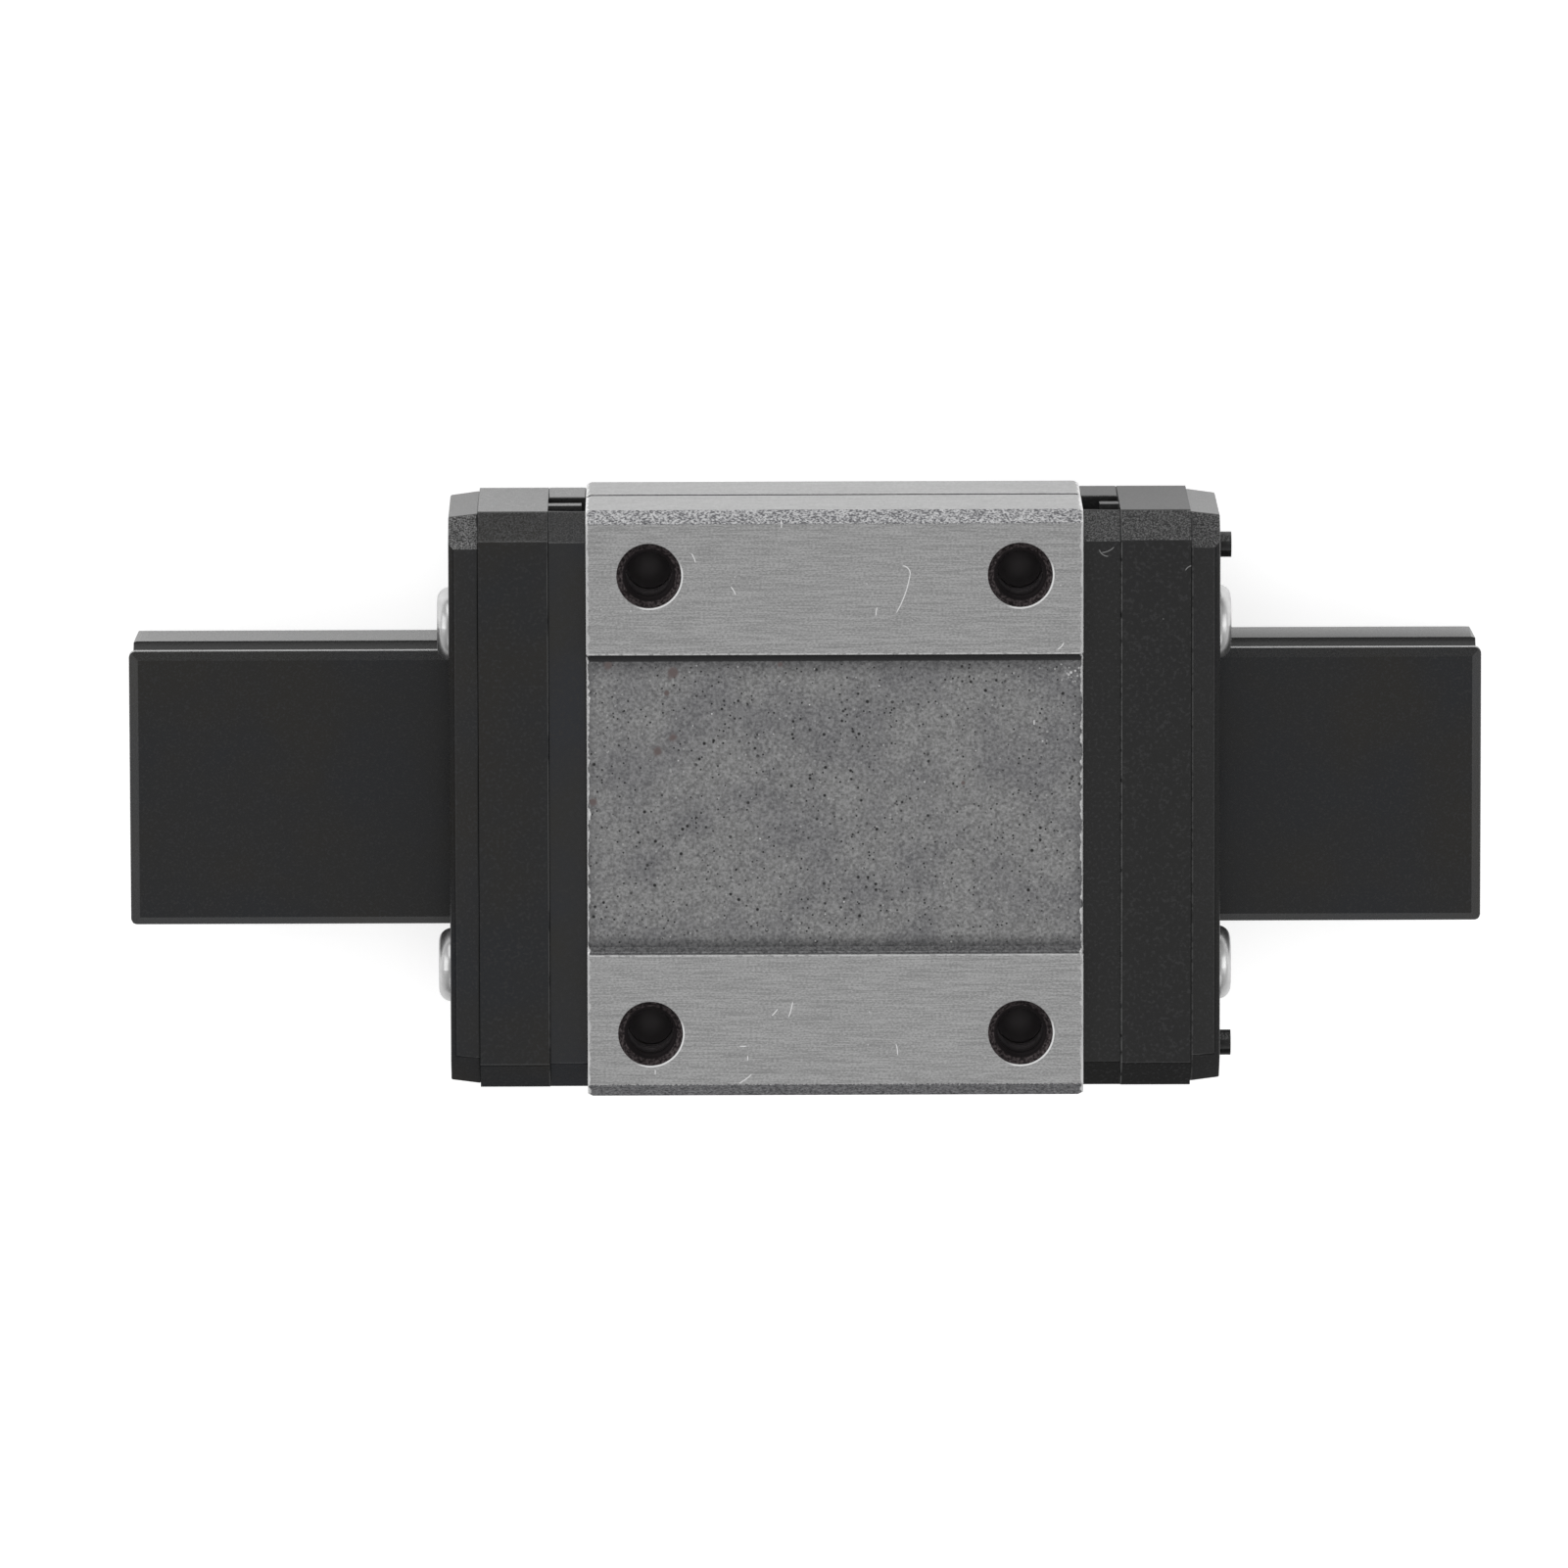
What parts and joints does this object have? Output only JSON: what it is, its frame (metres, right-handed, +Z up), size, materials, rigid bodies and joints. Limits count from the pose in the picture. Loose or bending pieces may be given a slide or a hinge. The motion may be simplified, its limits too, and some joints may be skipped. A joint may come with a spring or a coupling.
{
  "type": "miniature linear carriage",
  "caption": "Ball-bearing linear guide carriage with wiper seals, riding on its plastic transport rail.",
  "frame": {"origin": "middle of the transport rail's underside", "axes": "+X along the rail, +Y towards the side with the scribed line, +Z up from the rail to the mounting face"},
  "size_m": [0.0734, 0.032, 0.0146],
  "materials": {
    "ground_steel": "ground, with a rough middle",
    "black_plastic": "moulded, fine texture",
    "rail_plastic": "moulded, satin",
    "seal_rubber": "moulded, satin",
    "ball_steel": "polished",
    "wire_steel": "drawn",
    "screw_steel": "bright plated",
    "plug_steel": "black oxide"
  },
  "bodies": {
    "rail": {"transport_rail": "rail_plastic"},
    "carriage": {"ball_wire_front": "wire_steel", "ball_wire_rear": "wire_steel", "balls_front": "ball_steel", "balls_rear": "ball_steel", "cap_screw_front_left": "screw_steel", "cap_screw_front_right": "screw_steel", "cap_screw_rear_left": "screw_steel", "cap_screw_rear_right": "screw_steel", "carriage_block": "ground_steel", "end_cap_left": "black_plastic", "end_cap_right": "black_plastic", "end_seal_left": "seal_rubber", "end_seal_right": "seal_rubber", "grease_plug_left": "plug_steel", "grease_plug_right": "plug_steel", "return_guide_left": "black_plastic", "return_guide_right": "black_plastic"}
  },
  "joints": [
    {"name": "carriage_slide", "type": "slide", "parent": "rail", "child": "carriage", "axis": [1, 0, 0], "range_m": [-0.0174, 0.0143]}
  ]
}
